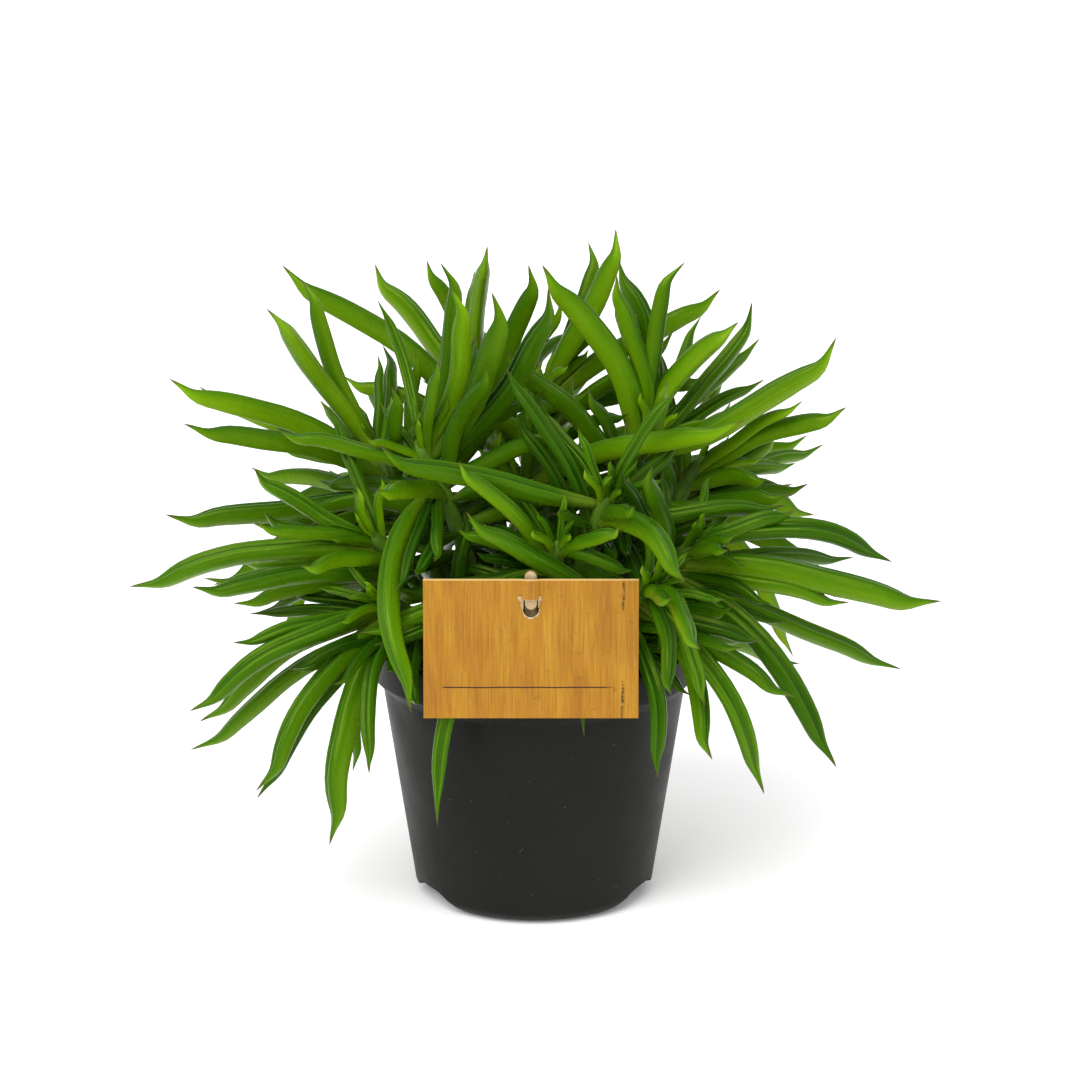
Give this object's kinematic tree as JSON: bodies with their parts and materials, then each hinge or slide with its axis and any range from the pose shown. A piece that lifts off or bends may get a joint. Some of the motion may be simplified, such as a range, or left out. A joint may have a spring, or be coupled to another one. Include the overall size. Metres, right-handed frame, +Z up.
{
  "type": "potted happy bean peperomia",
  "caption": "Bushy succulent peperomia with grooved, bean-pod-shaped leaves on short fleshy stems, in a dark tapering nursery pot with soil and a blank wood-grain label card on a stake.",
  "frame": {"origin": "middle of the pot's foot, on the surface that the pot stands on", "axes": "+Z up, -Y towards the side with the label card, +X to the right as seen from the label side"},
  "size_m": [0.292, 0.2237, 0.2448],
  "materials": {
    "leaf": "semi-gloss fleshy leaf",
    "pot_plastic": "satin moulded polypropylene",
    "soil": "matte potting mix",
    "card": "satin printed card with wood grain",
    "stake_wood": "plain unvarnished wood"
  },
  "bodies": {
    "root": {"pot": "pot_plastic", "soil": "soil", "label_card": "card", "label_stake": "stake_wood", "stem_tall_left": "leaf", "stem_front": "leaf", "stem_left": "leaf", "stem_right_front": "leaf", "stem_low_left": "leaf", "stem_low_right": "leaf", "stem_upper_left": "leaf", "stem_tall_right": "leaf", "stem_front_low": "leaf", "stem_right": "leaf", "stem_back_left": "leaf", "stem_back_right": "leaf", "stem_rear_left": "leaf", "stem_rear_right": "leaf", "stem_rear": "leaf", "stem_middle": "leaf"}
  },
  "joints": []
}
